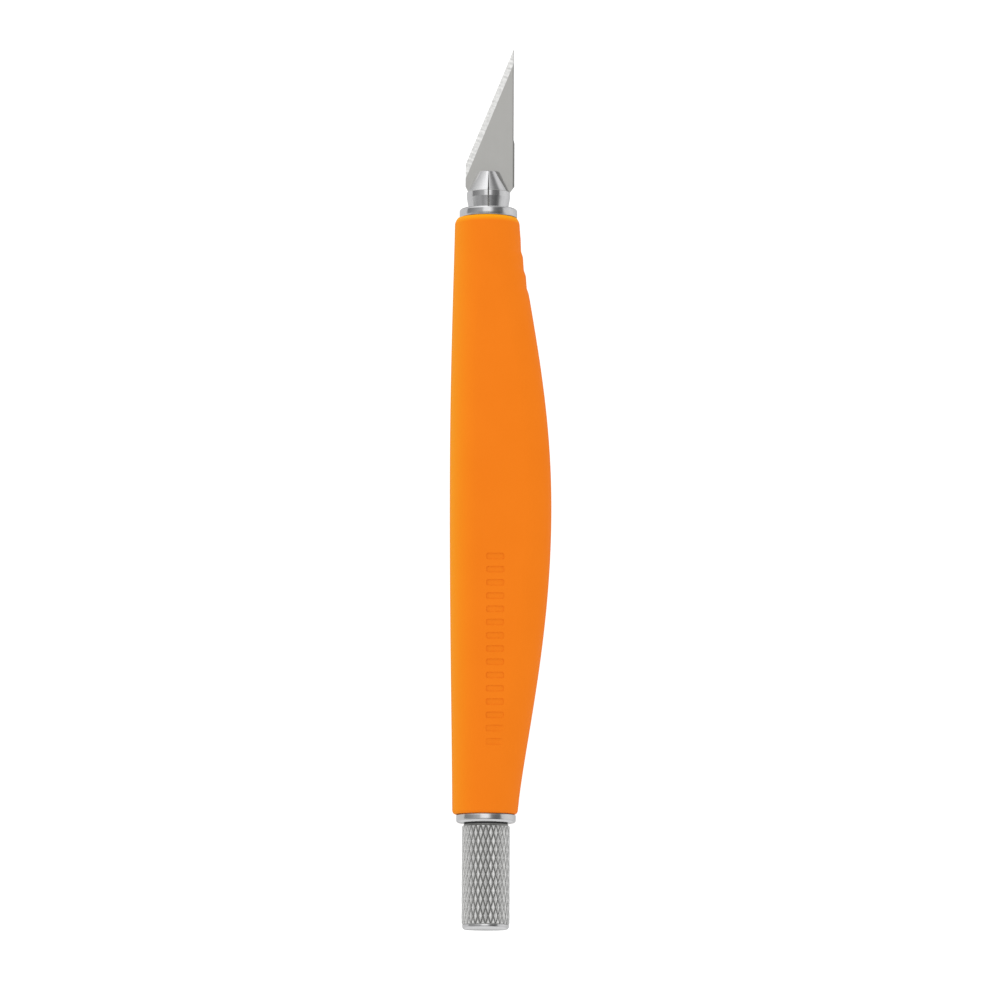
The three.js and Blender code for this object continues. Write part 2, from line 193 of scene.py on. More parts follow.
# %% [markdown]
# ## Finishes
#
# A finish is a small network of nodes, and most of it is arithmetic. A thin wrapper round a socket lets that
# arithmetic be written as plain sums, and one method adds any other node: its kind, its settings, then what
# goes into its sockets.

# %% Sums on sockets, and one method for any node
class Value:
    """A socket whose number can be added, multiplied and so on."""

    def __init__(self, nodes, socket):
        self.nodes = nodes
        self.socket = socket

    def __add__(self, other):
        return self.nodes.math("ADD", self, other)

    def __sub__(self, other):
        return self.nodes.math("SUBTRACT", self, other)

    def __rsub__(self, other):
        return self.nodes.math("SUBTRACT", other, self)

    def __mul__(self, other):
        return self.nodes.math("MULTIPLY", self, other)

    def __truediv__(self, other):
        return self.nodes.math("DIVIDE", self, other)

    def __pow__(self, other):
        return self.nodes.math("POWER", self, other)

    __radd__ = __add__


class Nodes:
    """A node tree with one method that adds any node to it."""

    def __init__(self, tree):
        self.tree = tree

    def add(self, kind, settings=None, sockets=None, output=0):
        node = self.tree.nodes.new(kind)
        for setting, value in (settings or {}).items():
            if setting == "stops":
                self.set_stops(node.color_ramp.elements, value)
            else:
                setattr(node, setting, value)
        for socket, value in (sockets or {}).items():
            self.feed(node.inputs[socket], value)
        return Value(self, node.outputs[output])

    def set_stops(self, elements, stops):
        while len(elements) < len(stops):
            elements.new(1)
        for element, (position, level) in zip(elements, stops):
            element.position = position
            element.color = (level, level, level, 1)

    def feed(self, socket, value):
        if isinstance(value, Value):
            self.tree.links.new(value.socket, socket)
        else:
            socket.default_value = value

    def math(self, operation, *numbers):
        return self.add("ShaderNodeMath", {"operation": operation}, dict(enumerate(numbers)))

    def mix(self, amount, first, second):
        """A colour between two others."""
        first, second = (c if isinstance(c, Value) else (*c, 1) for c in (first, second))
        sockets = {0: amount, 6: first, 7: second}
        return self.add("ShaderNodeMix", {"data_type": "RGBA"}, sockets, output=2)

    def share(self, value, low, high):
        """How far a value has come from low to high, held between 0 and 1."""
        return self.add("ShaderNodeClamp", sockets={"Value": (value - low) / (high - low)})

    def split(self, vector):
        """The three numbers of a vector."""
        return [self.add("ShaderNodeSeparateXYZ", sockets={0: vector}, output=i) for i in range(3)]


class Finish(Nodes):
    """A material, with its object coordinates at hand, measured in millimetres from the axis."""

    def __init__(self, name, **looks):
        self.material = bpy.data.materials.new(name)
        self.material.use_nodes = True
        super().__init__(self.material.node_tree)
        self.shader = self.tree.nodes["Principled BSDF"]
        coordinates = self.add("ShaderNodeTexCoord", output="Object")
        self.place = self.add(
            "ShaderNodeMapping",
            {"vector_type": "POINT"},
            {
                "Vector": coordinates,
                "Location": (-axis_x / mm, -butt_y / mm, -axis_z / mm),
                "Scale": (1 / mm, 1 / mm, 1 / mm),
            },
        )
        self.x, self.y, self.z = self.split(self.place)
        self.set(**looks)

    def set(self, **looks):
        """Sets or links the shader's sockets: base_color=... feeds Base Color, and so on."""
        for look, value in looks.items():
            socket = look.replace("_", " ").title().replace("Ior", "IOR")
            if look == "base_color" and not isinstance(value, Value):
                value = (*value, 1)
            self.feed(self.shader.inputs[socket], value)

    def radius(self):
        """The distance from the axis."""
        return (self.x * self.x + self.z * self.z) ** 0.5

    def grain(self, size, detail=2, along=None):
        """Noise about as coarse as size in millimetres: in space, or only along one number."""
        if along is None:
            sockets = {"Vector": self.place, "Scale": 1 / size, "Detail": detail}
            return self.add("ShaderNodeTexNoise", sockets=sockets)
        sockets = {"W": along, "Scale": 1 / size, "Detail": detail}
        return self.add("ShaderNodeTexNoise", {"noise_dimensions": "1D"}, sockets)

    def relief(self, height, depth):
        """A bump whose full height is depth, in millimetres."""
        bump = self.add("ShaderNodeBump", sockets={"Strength": 1, "Distance": depth * mm, "Height": height})
        self.set(normal=bump)


def wear(part, *finishes):
    """Puts finishes into a piece's material slots."""
    part.data.materials.clear()
    for finish in finishes:
        part.data.materials.append(finish.material)


# %% [markdown]
# ** Soft orange elastomer.** The over-moulded grip is dyed right through and comes out of a spark-eroded mould,
# so it is matte with a very fine pebble. Two scales of noise give the colour a little life, and the finer one
# gives the pebble. Towards the edge of the plain side and along the front lip the orange is painted lighter
# and yellower, as painted light where the soft key light falls. A faint witness line shows where the two
# halves of the mould met.

# %% Soft orange elastomer
soft_orange = Finish("soft orange elastomer", specular_ior_level=0.04)
pebble = soft_orange.grain(0.22, detail=3)
clouding = soft_orange.grain(9, detail=2)
dye = clouding * 0.7 + pebble * 0.3
orange = soft_orange.mix(dye, (0.70, 0.160, 0.006), (0.748, 0.182, 0.009))
plain_side_reach = 6.4
# painted light: the orange turns lighter and yellower towards the edge of the plain side
painted_side_light = soft_orange.share(soft_orange.x, 0.0, -plain_side_reach) ** 3
front_edge = (grip_front_y - butt_y) / mm
# painted light: the orange turns lighter and yellower along the front lip
painted_lip_light = soft_orange.share(soft_orange.y, front_edge - 1.1, front_edge - 0.2)
painted_light_colour = soft_orange.mix(painted_side_light, orange, (0.72, 0.250, 0.006))
soft_orange.set(base_color=soft_orange.mix(painted_lip_light, painted_light_colour, (0.78, 0.310, 0.006)))
soft_orange.set(roughness=0.50 + pebble * 0.16)
mould_line_width = 0.09
off_line = soft_orange.math("ABSOLUTE", soft_orange.z) / mould_line_width
mould_line = soft_orange.math("MAXIMUM", 1 - off_line, 0)
soft_orange.relief(pebble * 0.5 + mould_line * 0.6, 0.05)


# %% [markdown]
# **Turned aluminium.** The tool leaves fine rings on everything that comes off a lathe. They run round the
# piece, so they change only along the axis on a cylinder, only with the radius on a face, and with both on a
# cone. The sum of the two numbers covers all three. The rings give a shallow bump and streak the roughness.

# %% Turned aluminium
def turned_metal(name, colour, roughness):
    finish = Finish(name, metallic=1.0)
    feed_lines = finish.grain(0.16, detail=3, along=finish.y + finish.radius())
    scuffs = finish.grain(0.7, detail=4)
    dark = tuple(0.86 * channel for channel in colour)
    finish.set(base_color=finish.mix(feed_lines * 0.5 + scuffs * 0.5, dark, colour))
    finish.set(roughness=roughness + feed_lines * 0.08 + scuffs * 0.08)
    finish.relief(feed_lines * 0.7 + scuffs * 0.3, 0.004)
    return finish


bright_aluminium = turned_metal("bright turned aluminium", (0.92, 0.92, 0.93), 0.05)
tube_aluminium = turned_metal("drawn aluminium tube", (0.80, 0.80, 0.81), 0.28)

# %% [markdown]
# ** Knurled aluminium.** A knurl is pressed in, not cut: the tips of the diamonds are burnished by the hand and
# are smoother, and the bottoms of the grooves are painted dark, as painted shade in the recesses. The distance
# from the axis tells one from the other. The pressed skin is frosted, so it isn't a full mirror.

# %% Knurled aluminium
knob_radius = 4.3
knurl_depth = 0.30

knurled_aluminium = Finish("knurled aluminium", metallic=0.76)
tips = knurled_aluminium.share(knurled_aluminium.radius(), knob_radius - knurl_depth, knob_radius)
burrs = knurled_aluminium.grain(0.25, detail=4)
# painted shade: the groove bottoms are coloured dark and the tips light, with a little noise from the burrs
painted_groove_shade_and_burrs = tips * 0.85 + burrs * 0.15
knurled_aluminium.set(
    base_color=knurled_aluminium.mix(painted_groove_shade_and_burrs, (0.24, 0.24, 0.23), (1.0, 1.0, 0.99)),
    roughness=0.34 - tips * 0.14 + burrs * 0.10,
)
knurled_aluminium.relief(burrs, 0.012)

# %% [markdown]
# ** Blade steel.** The strip is rolled satin, with faint lines along it, and the edge is ground afterwards. The
# rounded spine is painted darker, as painted shade. Grinding leaves short scratches straight across the bevel,
# which scatter light and look whiter than the strip. The scratches follow the edge, so their finish measures
# along it: the direction comes from the blade's own outline.

# %% The blade's outline
blade_low, blade_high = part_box("blade")
spine_step = 0.17 * mm
point = Vector((blade_high.x - spine_step, blade_high.y))
edge_length_y = 21.15 * mm
heel = Vector((blade_low.x, point.y - edge_length_y))
grind_width = 1.03 * mm
along_edge = (point - heel).normalized()
into_blade = Vector((along_edge.y, -along_edge.x))
edge_slant = math.degrees(math.atan2(along_edge.x, along_edge.y))
print(f"cutting edge: {(point - heel).length / mm:.1f} mm at {edge_slant:.1f} degrees")

# %% Blade steel and its ground edge
strip_steel = Finish("rolled blade steel", metallic=1.0)
rolling = strip_steel.grain(0.10, detail=3, along=strip_steel.x)
bloom = strip_steel.grain(3.0, detail=4)
satin = strip_steel.mix(rolling * 0.4 + bloom * 0.6, (0.54, 0.535, 0.51), (0.66, 0.655, 0.635))
shade_from_x, shade_full_x = 4.25, 4.45
# painted shade: a dark strip along the rounded spine
painted_spine_shade = strip_steel.share(strip_steel.x, shade_from_x, shade_full_x)
strip_steel.set(
    base_color=strip_steel.mix(painted_spine_shade * 0.75, satin, (0.22, 0.22, 0.21)),
    roughness=0.30 + rolling * 0.10 + bloom * 0.08,
)
strip_steel.relief(rolling, 0.003)

ground_steel = Finish("ground blade steel", metallic=0.55)
scratch_place = ground_steel.x * along_edge.x + ground_steel.y * along_edge.y
fine = ground_steel.grain(0.45, detail=3, along=scratch_place)
chatter = ground_steel.grain(0.5, detail=3)
scratches = ground_steel.share(fine * 0.5 + chatter * 0.5, 0.32, 0.66)
ground_steel.set(
    base_color=ground_steel.mix(scratches, (0.62, 0.62, 0.61), (0.95, 0.95, 0.94)),
    roughness=0.30 + scratches * 0.25,
)
ground_steel.relief(scratches, 0.012)

# %% [markdown]
# **Inside pieces.** The rod, pin and clip are steel wire and strip, and the bush and washer are moulded nylon.
# They are only seen when the knife is taken apart, but each still gets the finish of its own making.

# %% Steel rod, tempered clip and moulded nylon
drawn_steel = turned_metal("drawn steel", (0.60, 0.60, 0.61), 0.22)
spring_steel = turned_metal("tempered spring steel", (0.10, 0.10, 0.12), 0.35)


def moulded_plastic(name, colour, roughness):
    finish = Finish(name)
    flow = finish.grain(2.5, detail=2)
    texture = finish.grain(0.15, detail=2)
    dark = tuple(0.85 * channel for channel in colour)
    finish.set(base_color=finish.mix(flow, dark, colour), roughness=roughness + texture * 0.15)
    finish.relief(texture, 0.01)
    return finish


white_nylon = moulded_plastic("natural nylon", (0.80, 0.78, 0.70), 0.45)
black_nylon = moulded_plastic("black nylon", (0.025, 0.025, 0.027), 0.45)
core_plastic = moulded_plastic("moulded core plastic", (0.72, 0.20, 0.02), 0.40)
print("finishes:", sorted(material.name for material in bpy.data.materials))

# %% [markdown]
# ## Blade
#
# The blade is a flat strip with a few straight cuts, a narrower tang and one ground edge. A box of the strip's
# thickness is bisected along the cutting edge, its back face is pulled out and narrowed into the tang, and the
# edge itself is squeezed flat, which leaves exactly the wedge that a grinding wheel would.

# %% Cut the strip to its outline
half_thickness = (blade_high.z - blade_low.z) / 2
strip_width = blade_high.x - blade_low.x
strip_middle_x = (blade_low.x + blade_high.x) / 2
full_width_y = point.y - 25.2 * mm
tang_y = point.y - 27.4 * mm
spine_step_front_y, spine_step_rear_y = point.y - 16.7 * mm, point.y - 17.4 * mm
tang_width = 6.0 * mm
tang_corner = 0.8 * mm
speck = 0.01 * mm

bpy.ops.object.select_all(action="DESELECT")
bpy.ops.mesh.primitive_cube_add(
    size=1,
    location=(strip_middle_x, (full_width_y + point.y) / 2, axis_z),
    scale=(strip_width, point.y - full_width_y, 2 * half_thickness),
)
blade = open_part("blade_steel")
bpy.ops.mesh.bisect(
    plane_co=(heel.x, heel.y, axis_z),
    plane_no=(-into_blade.x, -into_blade.y, 0),
    clear_outer=True,
    use_fill=True,
)
for step_y in (spine_step_front_y, spine_step_rear_y):
    bpy.ops.mesh.select_all(action="SELECT")
    bpy.ops.mesh.bisect(plane_co=(heel.x, step_y, axis_z), plane_no=(0, 1, 0))
pick("VERT", lambda v: v.co.x > blade_high.x - speck and v.co.y > spine_step_front_y - speck)
bpy.ops.transform.translate(value=(-spine_step, 0, 0))
bpy.ops.mesh.select_all(action="SELECT")
bpy.ops.mesh.remove_doubles(threshold=0.001 * mm)
print("outline cut")

# %% Pull out the tang
pick("FACE", lambda face: face.normal.y < -0.9 and face.calc_center_median().y < full_width_y + speck)
pull_out(tang_y - full_width_y)
bpy.ops.transform.resize(
    value=(tang_width / strip_width, 1, 1), center_override=(strip_middle_x, tang_y, axis_z)
)
bpy.ops.transform.translate(value=(axis_x - strip_middle_x, 0, 0))
pull_out(blade_low.y - tang_y)


def at_tang_corner(edge):
    upright = abs(span(edge).z) > half_thickness
    return upright and both_ends(edge, lambda co: co.y < blade_low.y + speck)


soften(tang_corner, 3, at_tang_corner)
print("tang pulled out")

# %% Grind the edge and roll the spine
edge_thickness_left = 0.06
bpy.ops.mesh.select_all(action="SELECT")
grind_line = heel + into_blade * grind_width
bpy.ops.mesh.bisect(
    plane_co=(grind_line.x, grind_line.y, axis_z), plane_no=(into_blade.x, into_blade.y, 0)
)


def behind_edge(co):
    """How far a point is from the cutting edge, into the blade."""
    return (Vector((co.x, co.y)) - heel).dot(into_blade)


def along_spine(edge):
    """Whether an edge runs along the spine of the strip, forward of the tang."""
    on_spine = both_ends(edge, lambda co: co.x > point.x - speck and co.y > full_width_y - speck)
    return on_spine and abs(span(edge).y) > speck


def ground(face):
    """Whether a face slopes towards the edge: not the strip's flat, and not the thin cut edge itself."""
    slope = abs(face.normal.dot(Vector((*into_blade, 0))))
    return 0.05 < slope < 0.9 and behind_edge(face.calc_center_median()) < grind_width


pick("VERT", lambda v: abs(behind_edge(v.co)) < speck)
bpy.ops.transform.resize(value=(1, 1, edge_thickness_left), center_override=(heel.x, heel.y, axis_z))
soften(0.12 * mm, 2, along_spine, sharper_than=60)

wear(blade, strip_steel, ground_steel)
pick("FACE", ground)
blade.active_material_index = 1
bpy.ops.object.material_slot_assign()
close_part(blade, crisp_over=12)
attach(blade, "blade")
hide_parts("blade")

# %% [markdown]
# ## Collet
#
# The collet is turned in one piece and then slit twice, down to a long way behind its head, which leaves four
# springy fingers. The model hinges each finger at its root, so each is its own mesh. One finger could be
# modelled and turned, but the slits are not alike: the blade's slot is wide and parallel, and the relief slit
# is sprung almost shut at the tip. So one blank is turned, copied four times, and each copy is sawn with the
# two cuts it needs.

# %% Turn the blank
finger_radius = 2.95 * mm
belly_radius = 3.9 * mm
belly_rear_y = jaw_tip_y - 4.72 * mm
belly_front_y = belly_rear_y + 0.95 * mm
seat_angle = math.radians(10.5)
taper_y = belly_rear_y - (belly_radius - finger_radius) / math.tan(seat_angle)
nose_radius = 2.1 * mm
bore_radius = 1.3 * mm
bore_front_y = jaw_tip_y - 9.57 * mm
bore_cone = 1 * mm
belly_break, belly_break_length = 0.13 * mm, 0.1 * mm
belly_round = 0.08 * mm
nose_break = 0.12 * mm
needle = 0.02 * mm

blank = turn(
    "collet_blank",
    [
        (needle, bore_front_y),
        (bore_radius, bore_front_y - bore_cone),
        (bore_radius, jaw_root_y),
        (finger_radius, jaw_root_y),
        (finger_radius, taper_y),
        (belly_radius, belly_rear_y),
        (belly_radius, belly_front_y),
        (belly_radius - belly_break, belly_front_y + belly_break_length),
        (nose_radius, jaw_tip_y - nose_break),
        (nose_radius - nose_break, jaw_tip_y),
        (needle, jaw_tip_y),
        (needle, bore_front_y),
    ],
)
soften(
    belly_round,
    3,
    lambda edge: both_ends(edge, lambda co: abs(co.y - belly_rear_y) < speck),
    sharper_than=8,
)
bpy.ops.object.mode_set(mode="OBJECT")
print(f"blank: {len(blank.data.polygons)} faces")

# %% Saw four fingers from copies of it
slot_play = 0.06 * mm
slot_half = half_thickness + slot_play
slit_half_root, slit_half_tip = 0.30 * mm, 0.09 * mm
slit_lean = (slit_half_root - slit_half_tip) / (jaw_tip_y - jaw_root_y)

for number, (side_x, side_z) in enumerate([(1, 1), (-1, 1), (-1, -1), (1, -1)], start=1):
    only(blank)
    bpy.ops.object.duplicate()
    jaw = open_part(f"collet_finger_{number}")
    bpy.ops.mesh.bisect(
        plane_co=(axis_x, jaw_root_y, axis_z + side_z * slot_half),
        plane_no=(0, 0, -side_z),
        clear_outer=True,
        use_fill=True,
    )
    bpy.ops.mesh.select_all(action="SELECT")
    bpy.ops.mesh.bisect(
        plane_co=(axis_x + side_x * slit_half_root, jaw_root_y, axis_z),
        plane_no=(-side_x, -slit_lean, 0),
        clear_outer=True,
        use_fill=True,
    )
    soften(0.02 * mm, 1, sharper_than=50)
    close_part(jaw, crisp_over=20)
    wear(jaw, bright_aluminium)
    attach(jaw, f"jaw_{number}")
    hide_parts(f"collet_jaw_{number}")
bpy.data.objects.remove(blank)

# %% [markdown]
# ## Collars
#
# Both collars are plain turned rings with a spigot that is pressed into the tube. What shows is a narrow
# polished band, a small rounded corner, and at the nose the tapered mouth that squeezes the collet. The corners
# are drawn square first and rounded afterwards, as a turner breaks an edge with a file.

# %% Nose collar
nose_flange_radius = 5.18 * mm
nose_flange_y = nose_face_y - 1.6 * mm
spigot_radius = 3.75 * mm
nose_bore = 3.3 * mm
mouth_play = 0.06 * mm
mouth_radius = belly_radius - (belly_rear_y - nose_face_y) * math.tan(seat_angle) + mouth_play
mouth_break = 0.42 * mm

nose = turn(
    "nose_collar_turned",
    [
        (nose_bore, nose_spigot_y),
        (spigot_radius, nose_spigot_y),
        (spigot_radius, nose_flange_y),
        (nose_flange_radius, nose_flange_y),
        (nose_flange_radius, nose_face_y),
        (mouth_radius + mouth_break, nose_face_y),
        (mouth_radius, nose_face_y - mouth_break),
        (nose_bore, nose_face_y - (mouth_radius - nose_bore) / math.tan(seat_angle)),
        (nose_bore, nose_spigot_y),
    ],
)


def on_rim(radius, station):
    """A test for edges that run round the axis at this radius and station."""
    return lambda edge: both_ends(
        edge, lambda co: abs(from_axis(co) - radius) < speck and abs(co.y - station) < speck
    )


soften(0.40 * mm, 4, on_rim(nose_flange_radius, nose_face_y))
soften(0.12 * mm, 2, on_rim(nose_flange_radius, nose_flange_y))
soften(0.05 * mm, 2, on_rim(mouth_radius + mouth_break, nose_face_y))
close_part(nose)
wear(nose, bright_aluminium)
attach(nose, "barrel")
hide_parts("nose_collar")

# %% Rear collar
rear_flange_radius = 5.3 * mm
rear_flange_front_y = rear_collar_y + 1.42 * mm
rod_clearance = 1.6 * mm

rear = turn(
    "rear_collar_turned",
    [
        (rod_clearance, rear_collar_y),
        (rear_flange_radius, rear_collar_y),
        (rear_flange_radius, rear_flange_front_y),
        (spigot_radius, rear_flange_front_y),
        (spigot_radius, rear_spigot_y),
        (rod_clearance, rear_spigot_y),
        (rod_clearance, rear_collar_y),
    ],
)
soften(0.50 * mm, 5, on_rim(rear_flange_radius, rear_collar_y))
soften(0.12 * mm, 2, on_rim(rear_flange_radius, rear_flange_front_y))
soften(0.15 * mm, 2, on_rim(spigot_radius, rear_spigot_y))
close_part(rear)
wear(rear, bright_aluminium)
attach(rear, "barrel")
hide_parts("rear_collar")

# %% [markdown]
# ## Knob
#
# The diamonds of a knurl lie between two families of crossing grooves. They could be cut one groove at a time,
# but poking gives them at once: every square of a plain grid gets a middle point, and when the old square edges
# are dissolved, the faces that are left are diamonds. Each is then inset by itself and raised, so the grooves
# stay low, and poked again with its middle pulled out into a blunt point. A plain core with a rounded rim is
# joined to the sleeve afterwards.

# %% Raise the diamonds
knurl_columns = 28
knurl_rows = 6
point_height = 0.07
valley_radius = (knob_radius - knurl_depth) * mm
knurl_rear_y = butt_y + 0.85 * mm
knurl_front_y = knob_front_y - 0.25 * mm
knurl_pitch = (knurl_front_y - knurl_rear_y) / knurl_rows
groove_half_width = 0.17 * mm

sleeve = turn(
    "knurled_sleeve",
    [(valley_radius, knurl_rear_y + row * knurl_pitch) for row in range(knurl_rows + 1)],
    segments=knurl_columns,
)


def row_of(vertex):
    """Which row of the grid a vertex is on; a poked middle point is half way between two."""
    return (vertex.co.y - knurl_rear_y) / knurl_pitch


def on_grid(vertex):
    return abs(row_of(vertex) - round(row_of(vertex))) < 0.1


def at_an_end(vertex):
    return not 0.1 < row_of(vertex) < knurl_rows - 0.1


def faces_out(face):
    return abs(face.normal.y) < 0.5


pick("FACE", faces_out)
bpy.ops.mesh.poke()
pick("VERT", lambda v: not on_grid(v))
out_to_circle = 1 / math.cos(math.pi / knurl_columns)
bpy.ops.transform.resize(
    value=(out_to_circle, 1, out_to_circle), center_override=(axis_x, knurl_rear_y, axis_z)
)
pick("EDGE", lambda edge: all(map(on_grid, edge.verts)) and not all(map(at_an_end, edge.verts)))
bpy.ops.mesh.dissolve_edges(use_verts=False)
diamonds = pick("FACE", faces_out)
bpy.ops.mesh.inset(
    thickness=groove_half_width, depth=(knurl_depth - point_height) * mm, use_individual=True
)
bpy.ops.mesh.poke(offset=point_height * mm)
close_part(sleeve, crisp_over=10)
print(f"{diamonds} diamonds")

# %% Join the sleeve to a core with a rounded rim
rim_radius = (knob_radius - knurl_depth / 2) * mm
core_radius = valley_radius - 0.04 * mm
rim_slope = core_corner = 0.12 * mm
rod_hole = 1.55 * mm
hole_play = 0.1 * mm
rod_end_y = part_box("draw_rod")[0].y

knob = turn(
    "knob_knurled",
    [
        (rim_radius, butt_y),
        (rim_radius, knurl_rear_y),
        (core_radius, knurl_rear_y + rim_slope),
        (core_radius, knob_front_y),
    ],
)
soften(0.55 * mm, 6, on_rim(rim_radius, butt_y))
soften(0.06 * mm, 2, on_rim(rim_radius, knurl_rear_y))
soften(core_corner, 2, on_rim(core_radius, knob_front_y))
close_part(knob)
apply_modifier(knob, "BOOLEAN", operation="UNION", solver="EXACT", object=sleeve)
bpy.data.objects.remove(sleeve)
bpy.ops.object.mode_set(mode="EDIT")
pick("FACE", lambda face: face.normal.y > 0.9 and face.calc_center_median().y > knob_front_y - speck)
bpy.ops.mesh.inset(thickness=core_radius - core_corner - rod_hole)
pull_out(rod_end_y - hole_play - knob_front_y)
wear(knob, knurled_aluminium, bright_aluminium)
pick("FACE", lambda face: face.calc_center_median().y < knurl_rear_y)
knob.active_material_index = 1
bpy.ops.object.material_slot_assign()
close_part(knob, crisp_over=18)
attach(knob, "knob")
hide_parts("knob")

# %% [markdown]
# ## Soft grip
#
# The grip is a long tube whose section changes all the way: round at the collars, and in the middle broad, with
# two nearly flat faces and a full palm swell on one side only. The tube is drawn ring by ring, scaled to the
# palm side's end radius in one direction and to the depth in the other. The palm swell, the plain side, the
# fullness of the section and the finger ribs are then pushed out by Displace modifiers, each through a vertex
# group that says how much it moves where.

# %% The grip's outline along the axis
palm_end, back_end, end_depth = 5.65 * mm, 6.03 * mm, 5.9 * mm
palm_swell, back_swell, depth_swell = 5.86 * mm, 0.7 * mm, 1.0 * mm
palm_squareness = 1.2
broad_face = 6.35 * mm
palm_peak_y = butt_y + 75 * mm
back_peak_y = butt_y + 82.9 * mm
palm_fall, back_fall = (1.475, 1.385), (1.3, 1.53)  # how steeply, towards the front and the rear
swell_front_y = grip_front_y - 1 * mm
full_rear_y, full_front_y = butt_y + 48 * mm, butt_y + 102 * mm
front_inset, rear_inset = 0.48 * mm, 0.65 * mm
front_round, rear_round = 1.2 * mm, 0.75 * mm


def smooth_step(value, low, high):
    t = min(max((value - low) / (high - low), 0), 1)
    return t * t * (3 - 2 * t)


def bump_at(y, peak_y, front_power, rear_power):
    """1 at the peak, falling to 0 at the two ends of the swell."""
    if y > peak_y:
        return max(0, 1 - ((y - peak_y) / (swell_front_y - peak_y)) ** 2) ** front_power
    return max(0, 1 - ((peak_y - y) / (peak_y - grip_rear_y)) ** 2) ** rear_power


def palm_at(y):
    return bump_at(y, palm_peak_y, *palm_fall)


def back_reach(y):
    return back_end + back_swell * bump_at(y, back_peak_y, *back_fall)


def full_depth(y):
    full = smooth_step(y, grip_rear_y, full_rear_y) - smooth_step(y, full_front_y, grip_front_y)
    return end_depth + depth_swell * full


rib_count = 3
rib_pitch = 3.4 * mm
rib_depth = 0.2 * mm
rib_fall = 0.7
rib_start_cosine, rib_full_cosine = 0.55, 0.85
first_rib_y = butt_y + 124.1 * mm
last_rib_y = first_rib_y - rib_count * rib_pitch


def rib_relief(y):
    """The share of the ribs' depth at a station: a long fall behind each crest, then a short rise."""
    if not last_rib_y < y < first_rib_y:
        return 0
    phase = (first_rib_y - y) / rib_pitch % 1
    return phase / rib_fall if phase < rib_fall else (1 - phase) / (1 - rib_fall)


print(f"palm swell reaches {(palm_end + palm_swell) / mm:.1f} mm from the axis at its fullest")

# %% Draw the tube, ring by ring
ring_points = 72
plain_steps, steps_per_rib = 46, 10
plain_y = grip_rear_y + rear_round
rib_steps = rib_count * steps_per_rib
lip_y = grip_front_y - front_round
stations = [
    (grip_rear_y + rear_round * u, rear_inset * (1 - math.sqrt(1 - (1 - u) ** 2)))
    for u in (0, 0.08, 0.25, 0.5, 0.75, 1)
]
stations += [(plain_y + (last_rib_y - plain_y) * i / plain_steps, 0) for i in range(1, plain_steps)]
stations += [(last_rib_y + rib_pitch * i / steps_per_rib, 0) for i in range(rib_steps + 1)]
stations += [(first_rib_y + (lip_y - first_rib_y) * i / 3, 0) for i in (1, 2)]
stations += [
    (grip_front_y - front_round * (1 - u), front_inset * u ** 2) for u in (0, 0.25, 0.5, 0.75, 0.92, 1)
]

bpy.ops.object.select_all(action="DESELECT")
bpy.ops.mesh.primitive_circle_add(
    vertices=ring_points,
    radius=1,
    location=(axis_x, stations[0][0], axis_z),
    rotation=(math.pi / 2, 0, 0),
)
grip = open_part("soft_grip")
reach, depth, station = 1, 1, stations[0][0]
for next_station, inset in stations:
    if next_station > station:
        pull_out(next_station - station)
    next_reach = palm_end - inset
    next_depth = min(full_depth(next_station), broad_face) - inset
    bpy.ops.transform.resize(
        value=(next_reach / reach, 1, next_depth / depth),
        center_override=(axis_x, next_station, axis_z),
    )
    reach, depth, station = next_reach, next_depth, next_station
bpy.ops.mesh.select_all(action="SELECT")
bpy.ops.mesh.normals_make_consistent(inside=False)
bpy.ops.object.mode_set(mode="OBJECT")
print(f"tube: {len(stations)} rings")

# %% How far each push goes, at cosine c and sine s round the section
def section_power(y):
    return 2 / (2 + palm_squareness * palm_at(y))


def palm_push(c, s, y, inset):
    """How far the palm side stands out past the drawn ring."""
    if c <= 0:
        return 0
    palm_reach = palm_end + palm_swell * palm_at(y) - inset
    return max(0, palm_reach * c ** section_power(y) - (palm_end - inset) * c)


def plain_push(c, s, y, inset):
    """How far the plain side stands out past it."""
    return (back_reach(y) - palm_end) * max(0, -c)


def top_push(c, s, y, inset):
    """How much higher than an ellipse the upper half of the section is."""
    if s <= 0:
        return 0
    power = section_power(y) if c > 0 else 1
    height = min((full_depth(y) - inset) * s ** power, broad_face - inset)
    return max(0, height - (min(full_depth(y), broad_face) - inset) * s)


def bottom_push(c, s, y, inset):
    return top_push(c, -s, y, inset)


def rib_push(c, s, y, inset):
    """How deep the ribs go in, on the palm side only."""
    return rib_relief(y) * smooth_step(c, rib_start_cosine, rib_full_cosine) * rib_depth


# %% Push out the palm, the section and the ribs
most_palm = palm_swell + 1.5 * mm
most_plain = most_full = 2 * mm
pushes = {
    "palm": ("X", most_palm, palm_push),
    "plain side": ("X", -most_plain, plain_push),
    "top fullness": ("Z", most_full, top_push),
    "bottom fullness": ("Z", -most_full, bottom_push),
    "finger ribs": ("X", -rib_depth, rib_push),
}
inset_at = dict(stations)

only(grip)
for name, (direction, strength, push) in pushes.items():
    group = grip.vertex_groups.new(name=name)
    for vertex in grip.data.vertices:
        y = min(inset_at, key=lambda station: abs(station - vertex.co.y))
        inset = inset_at[y]
        c = (vertex.co.x - axis_x) / (palm_end - inset)
        s = (vertex.co.z - axis_z) / (min(full_depth(y), broad_face) - inset)
        weight = push(c, s, y, inset) / abs(strength)
        if weight > 0:
            group.add([vertex.index], min(weight, 1), "REPLACE")
for name, (direction, strength, push) in pushes.items():
    apply_modifier(
        grip, "DISPLACE", direction=direction, strength=strength, mid_level=0, vertex_group=name
    )
print("pushed out by", ", ".join(pushes))

# %% Smooth the skin and give it its thickness
skin_thickness = 1.2 * mm
skin_crisp_over = math.radians(50)

